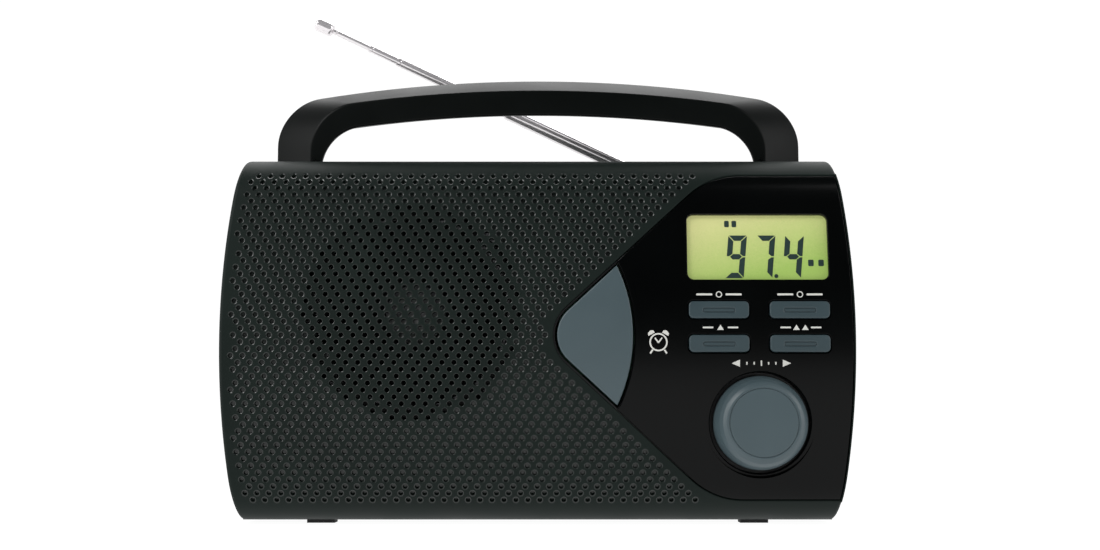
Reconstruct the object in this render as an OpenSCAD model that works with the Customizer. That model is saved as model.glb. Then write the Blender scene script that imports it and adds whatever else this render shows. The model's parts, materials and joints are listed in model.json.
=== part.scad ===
// Tabletop clock radio: front shell with a gloss control panel, rear shell, carrying handle,
// telescopic antenna and the works inside. Every sub-part is drawn in body coordinates, with X to the
// right, Y going back from the foremost line of the front face and Z up from mid-height. place() then
// sets it on the surface that the feet rest on.

/* [Body] */
// Width of the body at mid-height
body_w = 230; // [228:1:234]
// Height of the body without its feet
body_h = 134.4; // [133:0.2:136]
// Depth of the body from the front face to the back
body_d = 72; // [70:1:76]
// Wall thickness of both shells
wall = 2.4; // [2:0.1:2.8]
// Radius of the bowed left and right sides
side_r = 405; // [380:5:440]
// Radius of the gently crowned front face
crown_r = 290; // [270:5:320]
// Height above mid-height where the crown meets the rolled edge
crown_half_h = 50.5; // [48:0.5:52]
// Radius of the two long rear edges
rear_edge_r = 6; // [4:0.5:8]
// Depth at which the front shell meets the rear shell
split_y = 24; // [24:0.5:26]

/* [Feet] */
// Height of each foot below the body
foot_h = 1.2; // [1:0.1:1.6]
// Width of each foot
foot_w = 10.3; // [9:0.1:12]
// Distance of each foot from the middle
foot_x = 80.5; // [76:0.5:84]

/* [Control panel] */
// Slope of the panel's two diagonal edges, in degrees
diagonal_angle = 42.8; // [42:0.1:44]
// Leftmost point of the panel opening
nose_x = 5.7; // [5:0.1:7]
// Radius of the panel opening's nose
nose_r = 13.7; // [13:0.1:14.5]
// Radius between a diagonal and the top or bottom edge
shoulder_r = 28; // [26:0.5:30]
// Half height of the panel opening
panel_half_h = 59.7; // [59:0.1:60.4]
// Thickness of the panel
panel_t = 2; // [1.8:0.1:2.2]
// Gap round the panel and round each button
gap = 0.9; // [0.7:0.1:1]

/* [Buttons] */
// Width of each small button
button_w = 21.7; // [20:0.1:22]
// Height of each small button
button_h = 6.2; // [5.8:0.1:6.6]
// Travel of a small button
button_travel = 0.8; // [0.6:0.1:0.9]
// Travel of the snooze button
snooze_travel = 1.2; // [0.8:0.1:1.4]

/* [Tuning knob] */
// Diameter of the knob's skirt
knob_d = 33.8; // [32:0.1:34.5]
// Diameter of the knob's front face
knob_face_d = 27.5; // [26:0.1:28]
// How far the knob stands in front of the body
knob_out = 8.9; // [8:0.1:10]

/* [Speaker] */
// Diameter of the speaker's rim
speaker_d = 77; // [76:0.5:78]
// Distance between the grille's holes along a row
hole_pitch = 4.33; // [4.3:0.01:4.4]
// Diameter of the grille's open holes
hole_d = 1.7; // [1.5:0.1:1.8]

/* [Handle] */
// Half width over the handle's outside
handle_half_w = 101; // [99:0.5:102]
// Height of the grip above the body
handle_rise = 33.8; // [32:0.1:35]
// Depth of the handle from its front edge to its back edge
handle_depth = 24; // [22:0.5:25]

/* [Antenna] */
// Angle of the raised antenna above the horizontal, in degrees
antenna_angle = 25.5; // [20:0.5:35]
// Distance from the pivot to the mouth of the main tube
main_tube_len = 100; // [96:1:104]
// Radial clearance of every turning or sliding fit
running_gap = 0.05; // [0.03:0.01:0.08]

/* [Hidden] */

$fn = 64;
// A cut runs this far past the face that it leaves.
over = 1;
far = 140;

front_y = -(body_d - knob_out) / 2;
mid_z = body_h / 2 + foot_h;
half_w = body_w / 2;
half_h = body_h / 2;

// The rolled edge is tangent to the crown and to the flat top and bottom.
crown_end_angle = asin(crown_half_h / crown_r);
edge_r = (half_h - crown_half_h) / (1 - sin(crown_end_angle));
edge_y = crown_r - crown_r * cos(crown_end_angle) + edge_r * cos(crown_end_angle);
edge_z = crown_half_h - edge_r * sin(crown_end_angle);

nose_cx = nose_x + nose_r;
shoulder_z = panel_half_h - shoulder_r;
shoulder_x = nose_cx + (shoulder_r - nose_r + shoulder_z * cos(diagonal_angle)) / sin(diagonal_angle);
snooze_right = 34.5;
snooze_arc_r = 58.9;
snooze_arc_cx = snooze_right - snooze_arc_r;

lcd_x = [54.6, 105.6];
lcd_z = [20.3, 44.3];
button_x = [65.6, 94.8];
button_z = [9.1, -3.1];
button_out = 0.7;
button_back_y = 8.6;
switch_tip_y = 9.6;

knob_x = 80.3;
knob_z = -31.6;
well_d = knob_d + 2.9;
well_floor_y = 6.4;
shaft_d = 6;

speaker_x = -45.4;
speaker_z = 8.7;
speaker_y = 6.8;

key_board_y = 13.2;
main_board_y = 30;
board_t = 1.6;

ledge_y = 54;
ledge_z = 44;
pivot_x = 77.5;
pivot_y = 62.5;
pivot_z = 51;
swivel_r = 4.5;

bay_x = [-97, 7];
bay_z = [-58, -4];
bay_y = 41;
bay_wall = 4;
door_t = 2.2;
door_lip = 2.5;
door_hinge_y = body_d - 1.6;
hinge_pin_r = 0.8;
door_hinge_z = bay_z[0] - 0.4;

handle_front_y = 25;
handle_mid_y = handle_front_y + handle_depth / 2;
handle_top_z = half_h + handle_rise;
handle_arch_r = 520;
handle_screw_x = 92.5;
handle_screw_y = [handle_mid_y - 4, handle_mid_y + 4];

wheel_r = 14;
wheel_x = half_w - wheel_r - 0.2;
wheel_y = 38;
wheel_t = 3.4;
wheel_z = 36;

band_z = -20;
power_z = -42;
switch_travel = 3;
switch_cap_half = 3;
switch_y = 35;

jack_z = -20;
jack_y = 33;
inlet_x = 30;
inlet_z = -44;

module place() { translate([0, front_y, mid_z]) children(); }
module block(x, y, z) {
    translate([x[0], y[0], z[0]]) cube([x[1] - x[0], y[1] - y[0], z[1] - z[0]]);
}
module along_x(r, x, y, z) { translate([x[0], y, z]) rotate([0, 90, 0]) cylinder(r = r, h = x[1] - x[0]); }
module along_y(r, y, x, z) { translate([x, y[0], z]) rotate([-90, 0, 0]) cylinder(r = r, h = y[1] - y[0]); }
module along_z(r, z, x, y) { translate([x, y, z[0]]) cylinder(r = r, h = z[1] - z[0]); }
// An outline drawn in X and Z, as thick as the two depths are apart.
module slab(y) { translate([0, y[1], 0]) rotate([90, 0, 0]) linear_extrude(y[1] - y[0]) children(); }
// A profile of radius and depth, turned about an axis that runs back from the front.
module turned(x, z, points) {
    translate([x, 0, z]) rotate([-90, 0, 0]) rotate_extrude() polygon(points);
}

function arc_points(x, y, r, from, to, n) =
    [for (i = [0 : n]) [x + r * cos(from + (to - from) * i / n), y + r * sin(from + (to - from) * i / n)]];
function mirrored(points) = [for (i = [len(points) - 1 : -1 : 0]) [points[i][0], -points[i][1]]];

// Side view of the body, drawn in by an inset.
module side_profile(inset) {
    tangent_z = edge_z + (edge_r - inset) * sin(crown_end_angle);
    intersection() {
        along_x(crown_r - inset, [-far, far], crown_r, 0, $fn = 256);
        block([-far, far], [0, split_y * 2], [-tangent_z, tangent_z]);
    }
    for (side = [-1, 1]) along_x(edge_r - inset, [-far, far], edge_y, side * edge_z);
    block([-far, far], [edge_y, body_d - rear_edge_r], [-half_h + inset, half_h - inset]);
    block([-far, far], [split_y, body_d - inset], [-half_h + rear_edge_r, half_h - rear_edge_r]);
    for (side = [-1, 1])
        along_x(rear_edge_r - inset, [-far, far], body_d - rear_edge_r, side * (half_h - rear_edge_r));
}
// The left and right sides, drawn in by an inset.
module bowed(inset) {
    intersection() {
        along_y(side_r - inset, [-over, body_d + over], half_w - side_r, 0, $fn = 256);
        along_y(side_r - inset, [-over, body_d + over], side_r - half_w, 0, $fn = 256);
    }
}
module body_solid(inset) {
    intersection() {
        side_profile(inset);
        bowed(inset);
    }
}
// The ledge at the back of the top, where the folded antenna lies.
module ledge(inset) {
    block([-far, far], [ledge_y - inset, body_d + over], [ledge_z - inset, half_h + over]);
}

// The opening in the front shell that the panel and the snooze button fill, drawn out by an amount.
module panel_outline(grow, side_inset) {
    r = side_r - side_inset;
    top = panel_half_h + grow;
    side_angle = asin(top / r);
    upper = concat(
        arc_points(half_w - side_r, 0, r, 0, side_angle, 6),
        arc_points(shoulder_x, shoulder_z, shoulder_r + grow, 90, 90 + diagonal_angle, 8),
        arc_points(nose_cx, 0, nose_r + grow, 90 + diagonal_angle, 180, 8));
    polygon(concat(upper, mirrored(upper)));
}
// A layer of the front face between two depths below its surface, as wide as an outline.
module front_layer(depth) {
    intersection() {
        slab([-over, split_y]) children();
        difference() {
            translate([0, depth[0], 0]) body_solid(0);
            translate([0, depth[1], 0]) body_solid(0);
        }
    }
}
module snooze_outline(grow) {
    intersection() {
        panel_outline(grow - 1.5, 1);
        translate([snooze_arc_cx, 0]) circle(snooze_arc_r + grow, $fn = 128);
    }
}
module rounded_rect(x, z, w, h, r) {
    hull() for (i = [-1, 1], j = [-1, 1])
        translate([x + i * (w / 2 - r), z + j * (h / 2 - r)]) circle(r, $fn = 24);
}
module lcd_outline(grow) {
    rounded_rect((lcd_x[0] + lcd_x[1]) / 2, (lcd_z[0] + lcd_z[1]) / 2,
        lcd_x[1] - lcd_x[0] + 2 * grow, lcd_z[1] - lcd_z[0] + 2 * grow, 2.3 + grow);
}
module button_outlines(grow) {
    for (x = button_x, z = button_z) rounded_rect(x, z, button_w + 2 * grow, button_h + 2 * grow, 2);
}

// A round hole stays a circle, so that the grille is drilled and not cut with facets.
// Rows away from the middle one step to the right, so that the holes line up with the panel's diagonals.
function grille_holes() = [for (k = [-13 : 20], n = [-32 : 4])
    let (x = -1.55 + hole_pitch * (n + 0.607 * abs(k)), z = k * hole_pitch * 0.571)
    if (norm([x - speaker_x, z - speaker_z]) < speaker_d / 2 + 0.8) [x, z]];

boss_places = [[-104, 58], [-104, -58], [104, 58], [104, -58], [14, -58]];
speaker_screw_r = speaker_d / 2 + 5.5;
speaker_screw_angles = [45, 135, 225, 315];
board_screw_places = [[10, 40], [98, 12], [12, -46], [88, -14]];
key_screw_places = [[12, 42], [104, -10.5], [44, -10.5]];

// A post that stands on the inside of the front face.
module front_post(r, y, x, z, bore, bore_y) {
    difference() {
        intersection() {
            along_y(r, [0, y], x, z);
            translate([0, panel_t + 0.3, 0]) body_solid(0);
        }
        along_y(bore, [bore_y, y + over], x, z);
    }
}
module front_shell() {
    color("#2a3030") place() {
        difference() {
            intersection() {
                body_solid(0);
                block([-far, far], [-over, split_y], [-far, far]);
            }
            body_solid(wall);
            front_layer([-over, wall + 0.4]) panel_outline(0, 0.4);
            slab([-over, 12]) for (p = grille_holes()) translate(p) circle(d = hole_d, $fn = 16);
        }
        // The bed behind the panel, open behind the display, the buttons and the knob.
        difference() {
            front_layer([panel_t + 0.2, panel_t + 2]) panel_outline(2, 1);
            slab([-over, split_y]) lcd_outline(0.3);
            slab([-over, split_y]) button_outlines(gap);
            slab([-over, split_y]) snooze_outline(0.9);
            along_y(well_d / 2, [-over, split_y], knob_x, knob_z);
        }
        // The cup that the knob's skirt stands in.
        difference() {
            intersection() {
                along_y(well_d / 2 + 1.5, [3, well_floor_y + 2], knob_x, knob_z);
                translate([0, panel_t + 0.3, 0]) body_solid(0);
            }
            along_y(well_d / 2, [0, well_floor_y], knob_x, knob_z);
            along_y(5, [0, split_y], knob_x, knob_z);
        }
        for (a = speaker_screw_angles)
            front_post(2.8, speaker_y, speaker_x + speaker_screw_r * cos(a),
                speaker_z + speaker_screw_r * sin(a), 1.35, speaker_y - 2);
        for (p = key_screw_places) front_post(2.6, key_board_y, p[0], p[1], 1.25, key_board_y - 5);
        for (p = boss_places) front_post(4, split_y, p[0], p[1], 1.65, split_y - 12);
    }
}

module rear_boss(p, r, y) { along_y(r, y, p[0], p[1]); }
module rear_shell() {
    color("#262c2b") place() {
        difference() {
            union() {
                difference() {
                    intersection() {
                        body_solid(0);
                        block([-far, far], [split_y, body_d + over], [-far, far]);
                    }
                    difference() {
                        body_solid(wall);
                        ledge(wall);
                    }
                    ledge(0);
                }
                // Walls of the battery bay.
                intersection() {
                    block([bay_x[0] - bay_wall, bay_x[1] + bay_wall], [bay_y - 2, body_d - 1],
                        [bay_z[0] - bay_wall, bay_z[1] + bay_wall]);
                    body_solid(1);
                }
                for (p = boss_places) intersection() {
                    rear_boss(p, 4, [split_y + 0.4, p[1] > 0 ? ledge_y - 1 : body_d - 1]);
                    body_solid(1);
                }
                // Collar that the antenna's swivel turns in.
                along_z(8, [ledge_z - 8, ledge_z - 1], pivot_x, pivot_y - 0.5);
                // Clip that holds the folded antenna.
                block([-34, -28], [pivot_y - 4.6, pivot_y + 4.6], [ledge_z - 1, pivot_z + 3]);
                // Posts of the main board.
                for (p = board_screw_places)
                    rear_boss(p, 3, [main_board_y + board_t, body_d - 1]);
            }
            block(bay_x, [bay_y, body_d + over], bay_z);
            // Seat of the door.
            block([bay_x[0] - door_lip, bay_x[1] + door_lip], [body_d - door_t - 0.5, body_d + over],
                [bay_z[0] - 2.6, bay_z[1] + door_lip]);
            along_x(hinge_pin_r + running_gap, [bay_x[0] - 3.9, bay_x[1] + 3.9], door_hinge_y, door_hinge_z);
            for (p = boss_places) {
                rear_boss(p, 1.7, [split_y, body_d + over]);
                rear_boss(p, 3.2, [split_y + 12, body_d + over]);
            }
            along_z(swivel_r + running_gap, [ledge_z - 9, ledge_z + over], pivot_x, pivot_y);
            block([-36, -26], [pivot_y - 3.1, pivot_y + 3.1], [pivot_z - 3.1, pivot_z + 4]);
            for (p = board_screw_places) rear_boss(p, 1.25, [main_board_y, main_board_y + 12]);
            for (x = [-handle_screw_x, handle_screw_x], y = handle_screw_y)
                along_z(1.7, [half_h - wall - over, half_h + over], x, y);
            // Slots for the volume wheel and the two slide switches.
            block([105, far], [wheel_y - 0.6, wheel_y + wheel_t + 0.6], [wheel_z - 12, wheel_z + 12]);
            switch_slot(band_z, 0);
            switch_slot(power_z, switch_travel);
            along_x(4, [-far, -105], jack_y, jack_z);
            block([inlet_x - 10.2, inlet_x + 10.2], [body_d - 6, body_d + over],
                [inlet_z - 5.7, inlet_z + 5.7]);
            // Cooling slots in the back, behind the transformer.
            for (i = [0 : 6])
                block([58 + i * 6, 60.5 + i * 6], [body_d - 6, body_d + over], [-42, -19]);
        }
    }
}
module switch_slot(z, up) {
    block([105, far], [switch_y - 1.6, switch_y + 1.6],
        [z - switch_cap_half - switch_travel - 0.4, z + switch_cap_half + up + 0.4]);
}

module control_panel() {
    color("#050607") place() difference() {
        front_layer([0.1, panel_t + 0.1]) panel_outline(-0.4, 0.9);
        slab([-over, split_y]) translate([snooze_arc_cx, 0]) circle(snooze_arc_r + gap, $fn = 128);
        slab([-over, split_y]) lcd_outline(0.1);
        slab([-over, split_y]) button_outlines(gap / 3);
        along_y(well_d / 2, [-over, split_y], knob_x, knob_z);
    }
}

module lcd_window() {
    color("#c4d08a", 0.5) place() front_layer([0.3, 1.7]) lcd_outline(0);
}
// The display leans back with the panel.
module leaning() {
    z = (lcd_z[0] + lcd_z[1]) / 2;
    translate([(lcd_x[0] + lcd_x[1]) / 2, crown_r, 0]) rotate([-asin(z / crown_r), 0, 0])
        translate([0, -crown_r, 0]) children();
}
module lcd_module() {
    w = lcd_x[1] - lcd_x[0] + 2;
    h = lcd_z[1] - lcd_z[0] + 1;
    color("#b9c878") place() leaning() {
        block([-w / 2, w / 2], [4.6, 5.8], [-h / 2, h / 2]);
        block([-w / 2, w / 2], [5.8, 7], [-h / 2, h / 2 - 2]);
    }
}
module lcd_holder() {
    w = lcd_x[1] - lcd_x[0] + 2.4;
    h = lcd_z[1] - lcd_z[0] + 1.4;
    color("#dcdcd4") place() leaning() difference() {
        block([-w / 2 - 1.4, w / 2 + 1.4], [4.7, 9], [-h / 2 - 1.4, h / 2 + 1.4]);
        block([-w / 2, w / 2], [4, 7.1], [-h / 2, h / 2]);
    }
}

module button(x, z) {
    difference() {
        slab([-button_out, button_back_y - 3])
            rounded_rect(x, z, button_w, button_h, 1.7);
        slab([-button_out - over, -button_out + 0.4]) difference() {
            rounded_rect(x, z, 11.6, 1.8, 0.5);
            rounded_rect(x, z, 10.8, 1, 0.3);
        }
    }
    block([x - 2, x + 2], [button_back_y - 4, switch_tip_y - button_travel - 0.2], [z - 1.6, z + 1.6]);
}
module time_set_button() { color("#48545a") place() button(button_x[0], button_z[0]); }
module alarm_set_button() { color("#48545a") place() button(button_x[1], button_z[0]); }
module hour_button() { color("#48545a") place() button(button_x[0], button_z[1]); }
module minute_button() { color("#48545a") place() button(button_x[1], button_z[1]); }
module snooze_button() {
    color("#48545a") place() {
        front_layer([-0.6, 1.6]) snooze_outline(0);
        block([18, 22], [0.6, switch_tip_y - snooze_travel - 0.2], [-2, 2]);
    }
}

module key_board() {
    color("#2f5d3a") place() difference() {
        block([8, 108], [key_board_y, key_board_y + board_t], [-14, 47]);
        for (p = key_screw_places) along_y(1.6, [key_board_y - over, key_board_y + 3], p[0], p[1]);
    }
}
module key_switches() {
    places = concat([for (x = button_x, z = button_z) [x, z]], [[20, 0]]);
    color("#33373a") place() for (p = places) {
        block([p[0] - 3, p[0] + 3], [key_board_y - 2.6, key_board_y], [p[1] - 3, p[1] + 3]);
        along_y(1.7, [switch_tip_y, key_board_y - 2.6], p[0], p[1]);
    }
}

module tuning_knob() {
    r = knob_d / 2;
    face_r = knob_face_d / 2;
    back_y = well_floor_y - 0.5;
    color("#48545a") place() difference() {
        turned(knob_x, knob_z, [
            [0, -knob_out + 0.5], [face_r - 2, -knob_out + 0.5], [face_r - 1.4, -knob_out],
            [face_r - 0.4, -knob_out], [face_r + 0.5, -knob_out + 0.9],
            [r - 1, 0.6], [r, 1.8], [r, back_y], [0, back_y]
        ]);
        turned(knob_x, knob_z, [[6, -3], [r - 2.4, 1], [r - 2.4, back_y + over], [6, back_y + over]]);
        along_y(shaft_d / 2 + 0.02, [-4, back_y + over], knob_x, knob_z);
    }
}
module tuning_shaft() {
    color("#b8bcc0") place() along_y(shaft_d / 2, [-4, 18], knob_x, knob_z);
}
module tuning_capacitor() {
    color("#d8d2c0") place() difference() {
        union() {
            block([knob_x - 11, knob_x + 11], [18.4, main_board_y], [knob_z - 11, knob_z + 11]);
            along_y(5, [16.4, 18.4], knob_x, knob_z);
        }
        along_y(shaft_d / 2 + running_gap, [15, 18.2], knob_x, knob_z);
    }
}

module speaker_frame() {
    r = speaker_d / 2;
    y = speaker_y;
    color("#8c8f90") place() {
        // Ears for the screws.
        for (a = speaker_screw_angles) rotate_about(speaker_x, speaker_z, a) difference() {
            union() {
                block([speaker_x + r - 2, speaker_x + speaker_screw_r], [y, y + 1.2],
                    [speaker_z - 3.4, speaker_z + 3.4]);
                along_y(4, [y, y + 1.2], speaker_x + speaker_screw_r, speaker_z);
            }
            along_y(1.6, [y - over, y + 2], speaker_x + speaker_screw_r, speaker_z);
        }
        turned(speaker_x, speaker_z, [[r - 4, y], [r, y], [r, y + 1.2], [r - 3.2, y + 1.2], [24, y + 16],
            [24, y + 18], [17, y + 18], [17, y + 16.8], [22.8, y + 16.8], [22.8, y + 15.6], [r - 4, y + 1]]);
    }
}
// Foam ring that seals the speaker's rim against the inside of the grille.
module speaker_gasket() {
    color("#202224") place() difference() {
        intersection() {
            along_y(speaker_d / 2, [0, speaker_y], speaker_x, speaker_z);
            body_solid(wall + 0.1);
        }
        along_y(speaker_d / 2 - 3, [-over, speaker_y + over], speaker_x, speaker_z);
    }
}
module speaker_magnet() {
    y = speaker_y + 18;
    color("#3a3a3c") place() turned(speaker_x, speaker_z,
        [[9.4, y], [22.5, y], [22.5, y + 10], [18, y + 10], [18, y + 12],
        [0, y + 12], [0, y - 4], [8, y - 4], [8, y + 8], [9.4, y + 8]]);
}
module speaker_cone() {
    y = speaker_y;
    color("#1c1c1e") place() turned(speaker_x, speaker_z, [[34, y + 0.2], [34.4, y + 1], [31, y + 2.6],
        [9.3, y + 13.2], [9.3, y + 17], [8.7, y + 17], [8.7, y + 12.8], [30.6, y + 1.8]]);
}
module speaker_dust_cap() {
    y = speaker_y + 9.2;
    color("#b9bcc0") place() turned(speaker_x, speaker_z, [
        [0, y - 3], [4, y - 2.6], [8, y - 1.2], [11, y + 1.4],
        [10.6, y + 1.9], [7.8, y - 0.5], [4, y - 1.9], [0, y - 2.3]]);
}
module screw(x, z, y0, head_r, head_h, r, length) {
    turned(x, z, [[0, y0 - length], [r, y0 - length], [r, y0], [head_r, y0], [head_r - 0.5, y0 + head_h],
        [1.2, y0 + head_h], [1.2, y0 + head_h - 1], [0, y0 + head_h - 1]]);
}
module speaker_screws() {
    color("#b8bcc0") place() for (a = speaker_screw_angles)
        screw(speaker_x + speaker_screw_r * cos(a), speaker_z + speaker_screw_r * sin(a), speaker_y + 1.2,
            4, 1.8, 1.3, 2.6);
}

module main_board() {
    color("#2f5d3a") place() {
        difference() {
            block([3, 106], [main_board_y, main_board_y + board_t], [-52, 50]);
            for (p = board_screw_places) along_y(1.6, [main_board_y - over, main_board_y + 3], p[0], p[1]);
        }
        block([28, 46], [main_board_y - 2.6, main_board_y], [-6, 8]);
        for (x = [20, 32, 44]) along_y(4, [main_board_y - 11, main_board_y], x, 24);
        block([58, 68], [main_board_y - 11, main_board_y], [12, 22]);
        block([72, 82], [main_board_y - 11, main_board_y], [12, 22]);
    }
}
module ferrite_rod() { color("#303034") place() along_x(4, [-30, 66], 40, 55); }
module ferrite_coil() {
    color("#b87333") place() difference() {
        along_x(6, [-6, 20], 40, 55);
        along_x(4, [-7, 21], 40, 55);
    }
}
module ferrite_holders() {
    color("#e6e2d4") place() for (x = [-26, 54]) difference() {
        block([x, x + 5], [34, 46], [48.5, half_h - wall]);
        along_x(4, [x - over, x + 6], 40, 55);
    }
}
module transformer() {
    color("#8c8a84") place() {
        block([60, 95], [40, 58], [-50, -21]);
        block([66, 89], [34, 64], [-45, -26]);
    }
}
module ac_inlet() {
    w = 20;
    color("#1a1c1d") place() difference() {
        block([inlet_x - w / 2, inlet_x + w / 2], [body_d - 18, body_d], [inlet_z - 5.5, inlet_z + 5.5]);
        for (x = [-4, 4]) along_y(4, [body_d - 12, body_d + over], inlet_x + x, inlet_z);
        block([inlet_x - 4, inlet_x + 4], [body_d - 12, body_d + over], [inlet_z - 3.4, inlet_z + 3.4]);
    }
    color("#c8ccd0") place() for (x = [-4, 4]) along_y(1.2, [body_d - 12.5, body_d - 3], inlet_x + x, inlet_z);
}
module headphone_jack() {
    x = -side_x(jack_z) + 0.5;
    color("#1a1c1d") place() difference() {
        union() {
            along_x(3.9, [x, x + 6], jack_y, jack_z);
            block([x + 3, x + 15], [jack_y - 5, jack_y + 5], [jack_z - 4.5, jack_z + 4.5]);
        }
        along_x(1.8, [x - over, x + 14], jack_y, jack_z);
    }
}
module volume_wheel() {
    color("#1e2122") place() difference() {
        union() {
            along_y(wheel_r, [wheel_y, wheel_y + wheel_t], wheel_x, wheel_z, $fn = 96);
            along_y(2.2, [wheel_y - 3, wheel_y], wheel_x, wheel_z);
        }
        for (i = [0 : 23]) rotate_about(wheel_x, wheel_z, i * 15)
            along_y(0.7, [wheel_y - over, wheel_y + wheel_t + over],
                wheel_x + wheel_r + 0.2, wheel_z, $fn = 16);
    }
}
module rotate_about(x, z, a) { translate([x, 0, z]) rotate([0, a, 0]) translate([-x, 0, -z]) children(); }
module volume_pot() {
    color("#777b7d") place() difference() {
        block([wheel_x - 7, wheel_x + 2.6], [main_board_y + board_t, wheel_y - 0.5],
            [wheel_z - 6, wheel_z + 6]);
        along_y(2.2 + running_gap, [wheel_y - 3.2, wheel_y], wheel_x, wheel_z);
    }
}
// Where the bowed right side is at a given height.
function side_x(z) = half_w - side_r + sqrt(side_r * side_r - z * z);
module switch_knob(z) {
    x = side_x(abs(z) + 8);
    block([101.6, x - wall], [switch_y - 1, switch_y + 1], [z - 1.5, z + 1.5]);
    block([x - wall - 1.2, x + 0.6], [switch_y - 1.3, switch_y + 1.3],
        [z - switch_cap_half, z + switch_cap_half]);
}
module switch_body(z) {
    difference() {
        block([95, 104], [main_board_y + board_t, switch_y + 3], [z - 8, z + 8]);
        block([101, 105], [switch_y - 1.3, switch_y + 1.3], [z - 6.5, z + 6.5]);
    }
}
module band_switch_knob() { color("#48545a") place() switch_knob(band_z); }
module band_switch() { color("#9a9ea0") place() switch_body(band_z); }
module power_switch_knob() { color("#48545a") place() switch_knob(power_z); }
module power_switch() { color("#9a9ea0") place() switch_body(power_z); }

// Tube swept along points: rings of n sides, each square to the path. No stretch of it runs along side.
function unit(v) = v / norm(v);
function heading(p, i) = unit(p[min(i + 1, len(p) - 1)] - p[max(i - 1, 0)]);
function ring(c, t, r, n, side) =
    let (u = unit(cross(t, side)), v = cross(t, u))
    [for (k = [0 : n - 1]) c + r * (cos(360 * k / n) * u + sin(360 * k / n) * v)];
module tube_along(p, r, n, side) {
    last = len(p) - 1;
    points = [for (i = [0 : last]) each ring(p[i], heading(p, i), r, n, side)];
    walls = [for (i = [0 : last - 1], k = [0 : n - 1])
        [(i + 1) * n + k, (i + 1) * n + (k + 1) % n, i * n + (k + 1) % n, i * n + k]];
    first_end = [for (k = [0 : n - 1]) k];
    last_end = [for (k = [n - 1 : -1 : 0]) last * n + k];
    polyhedron(points, concat(walls, [first_end, last_end]));
}
function coil_points(x, y, z, r0, r1, length, turns) = [for (i = [0 : turns * 10])
    let (s = i / (turns * 10), a = 360 * turns * s, r = r0 + (r1 - r0) * s)
    [x + length * s, y + r * cos(a), z + r * sin(a)]];
cell_z = [bay_z[0] + 13.5, bay_z[1] - 13.5];
cell_y = bay_y + 14;
module battery_springs() {
    color("#c8ccd0") place() {
        tube_along(coil_points(bay_x[0] + 1, cell_y, cell_z[0], 8, 4, 6, 4), 0.45, 5, [1, 0, 0]);
        tube_along(coil_points(bay_x[1] - 1, cell_y, cell_z[1], 8, 4, -6, 4), 0.45, 5, [1, 0, 0]);
        block([bay_x[0], bay_x[0] + 0.8], [bay_y + 4, bay_y + 24], [cell_z[0] - 10, cell_z[0] + 10]);
        block([bay_x[1] - 0.8, bay_x[1]], [bay_y + 4, bay_y + 24], [cell_z[1] - 10, cell_z[1] + 10]);
    }
}
module battery_contacts() {
    color("#c8ccd0") place() {
        block([bay_x[0], bay_x[0] + 0.8], [bay_y + 4, bay_y + 24], [cell_z[1] - 10, cell_z[1] + 10]);
        along_x(4, [bay_x[0] + 0.8, bay_x[0] + 1.6], cell_y, cell_z[1]);
        block([bay_x[1] - 0.8, bay_x[1]], [bay_y + 4, bay_y + 24], [cell_z[0] - 10, cell_z[0] + 10]);
        along_x(4, [bay_x[1] - 1.6, bay_x[1] - 0.8], cell_y, cell_z[0]);
    }
}
module battery_door() {
    x = [bay_x[0] - door_lip + 0.4, bay_x[1] + door_lip - 0.4];
    z = [door_hinge_z - 0.6, bay_z[1] + door_lip - 0.4];
    color("#262c2b") place() difference() {
        union() {
            block(x, [body_d - door_t, body_d], z);
            // Hinge pins that snap into the rear shell.
            along_x(hinge_pin_r, [bay_x[0] - 3.7, bay_x[0] + 6], door_hinge_y, door_hinge_z);
            along_x(hinge_pin_r, [bay_x[1] - 6, bay_x[1] + 3.7], door_hinge_y, door_hinge_z);
            block([-60, -44], [body_d - door_t - 2.6, body_d - door_t], [bay_z[1] - 2.2, bay_z[1] - 0.6]);
        }
        // Ribs of the finger grip.
        for (i = [0 : 4])
            block([-60, -44], [body_d - 0.6, body_d + over],
                [bay_z[1] - 3 - 2 * i, bay_z[1] - 2 - 2 * i]);
    }
}

// The handle's outline: upright legs, round corners and a grip that is a little arched.
function grip_drop(x) = x * x / (2 * handle_arch_r);
module handle_outline(half, top, corner, foot_z) {
    half_grip = half - corner;
    right = concat([[half, foot_z]],
        [for (i = [0 : 8]) let (x = half_grip + corner * cos(90 * i / 8))
            [x, top - corner * (1 - sin(90 * i / 8)) - grip_drop(x)]],
        [for (i = [1 : 5]) [half_grip * (1 - i / 6), top - grip_drop(half_grip * (1 - i / 6))]]);
    polygon(concat(right, [[0, top]], [for (i = [len(right) - 1 : -1 : 0]) [-right[i][0], right[i][1]]]));
}
module handle() {
    back_y = handle_front_y + handle_depth;
    color("#222827") place() difference() {
        // The outside slopes from a crest at mid-depth to the narrower front and back edges.
        hull() {
            slab([handle_front_y, handle_front_y + 0.6]) handle_outline(86.6, handle_top_z - 6, 16, half_h);
            slab([handle_mid_y - 2, handle_mid_y + 2]) handle_outline(handle_half_w, handle_top_z, 16, half_h);
            slab([back_y - 0.6, back_y]) handle_outline(93, handle_top_z - 4, 16, half_h);
        }
        // The front lip reaches further in than the rest of the handle.
        slab([0, 60]) handle_outline(82.4, handle_top_z - 15.4, 14, half_h - over);
        slab([handle_front_y + 2.6, 60]) handle_outline(87.5, handle_top_z - 11, 15, half_h - over);
        for (x = [-handle_screw_x, handle_screw_x], y = handle_screw_y)
            along_z(1.25, [half_h - over, half_h + 14], x, y);
    }
}
module handle_screws() {
    color("#b8bcc0") place() for (x = [-handle_screw_x, handle_screw_x], y = handle_screw_y) {
        along_z(1.2, [half_h - wall, half_h + 12], x, y);
        along_z(3, [half_h - wall - 2, half_h - wall], x, y);
    }
}

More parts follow.
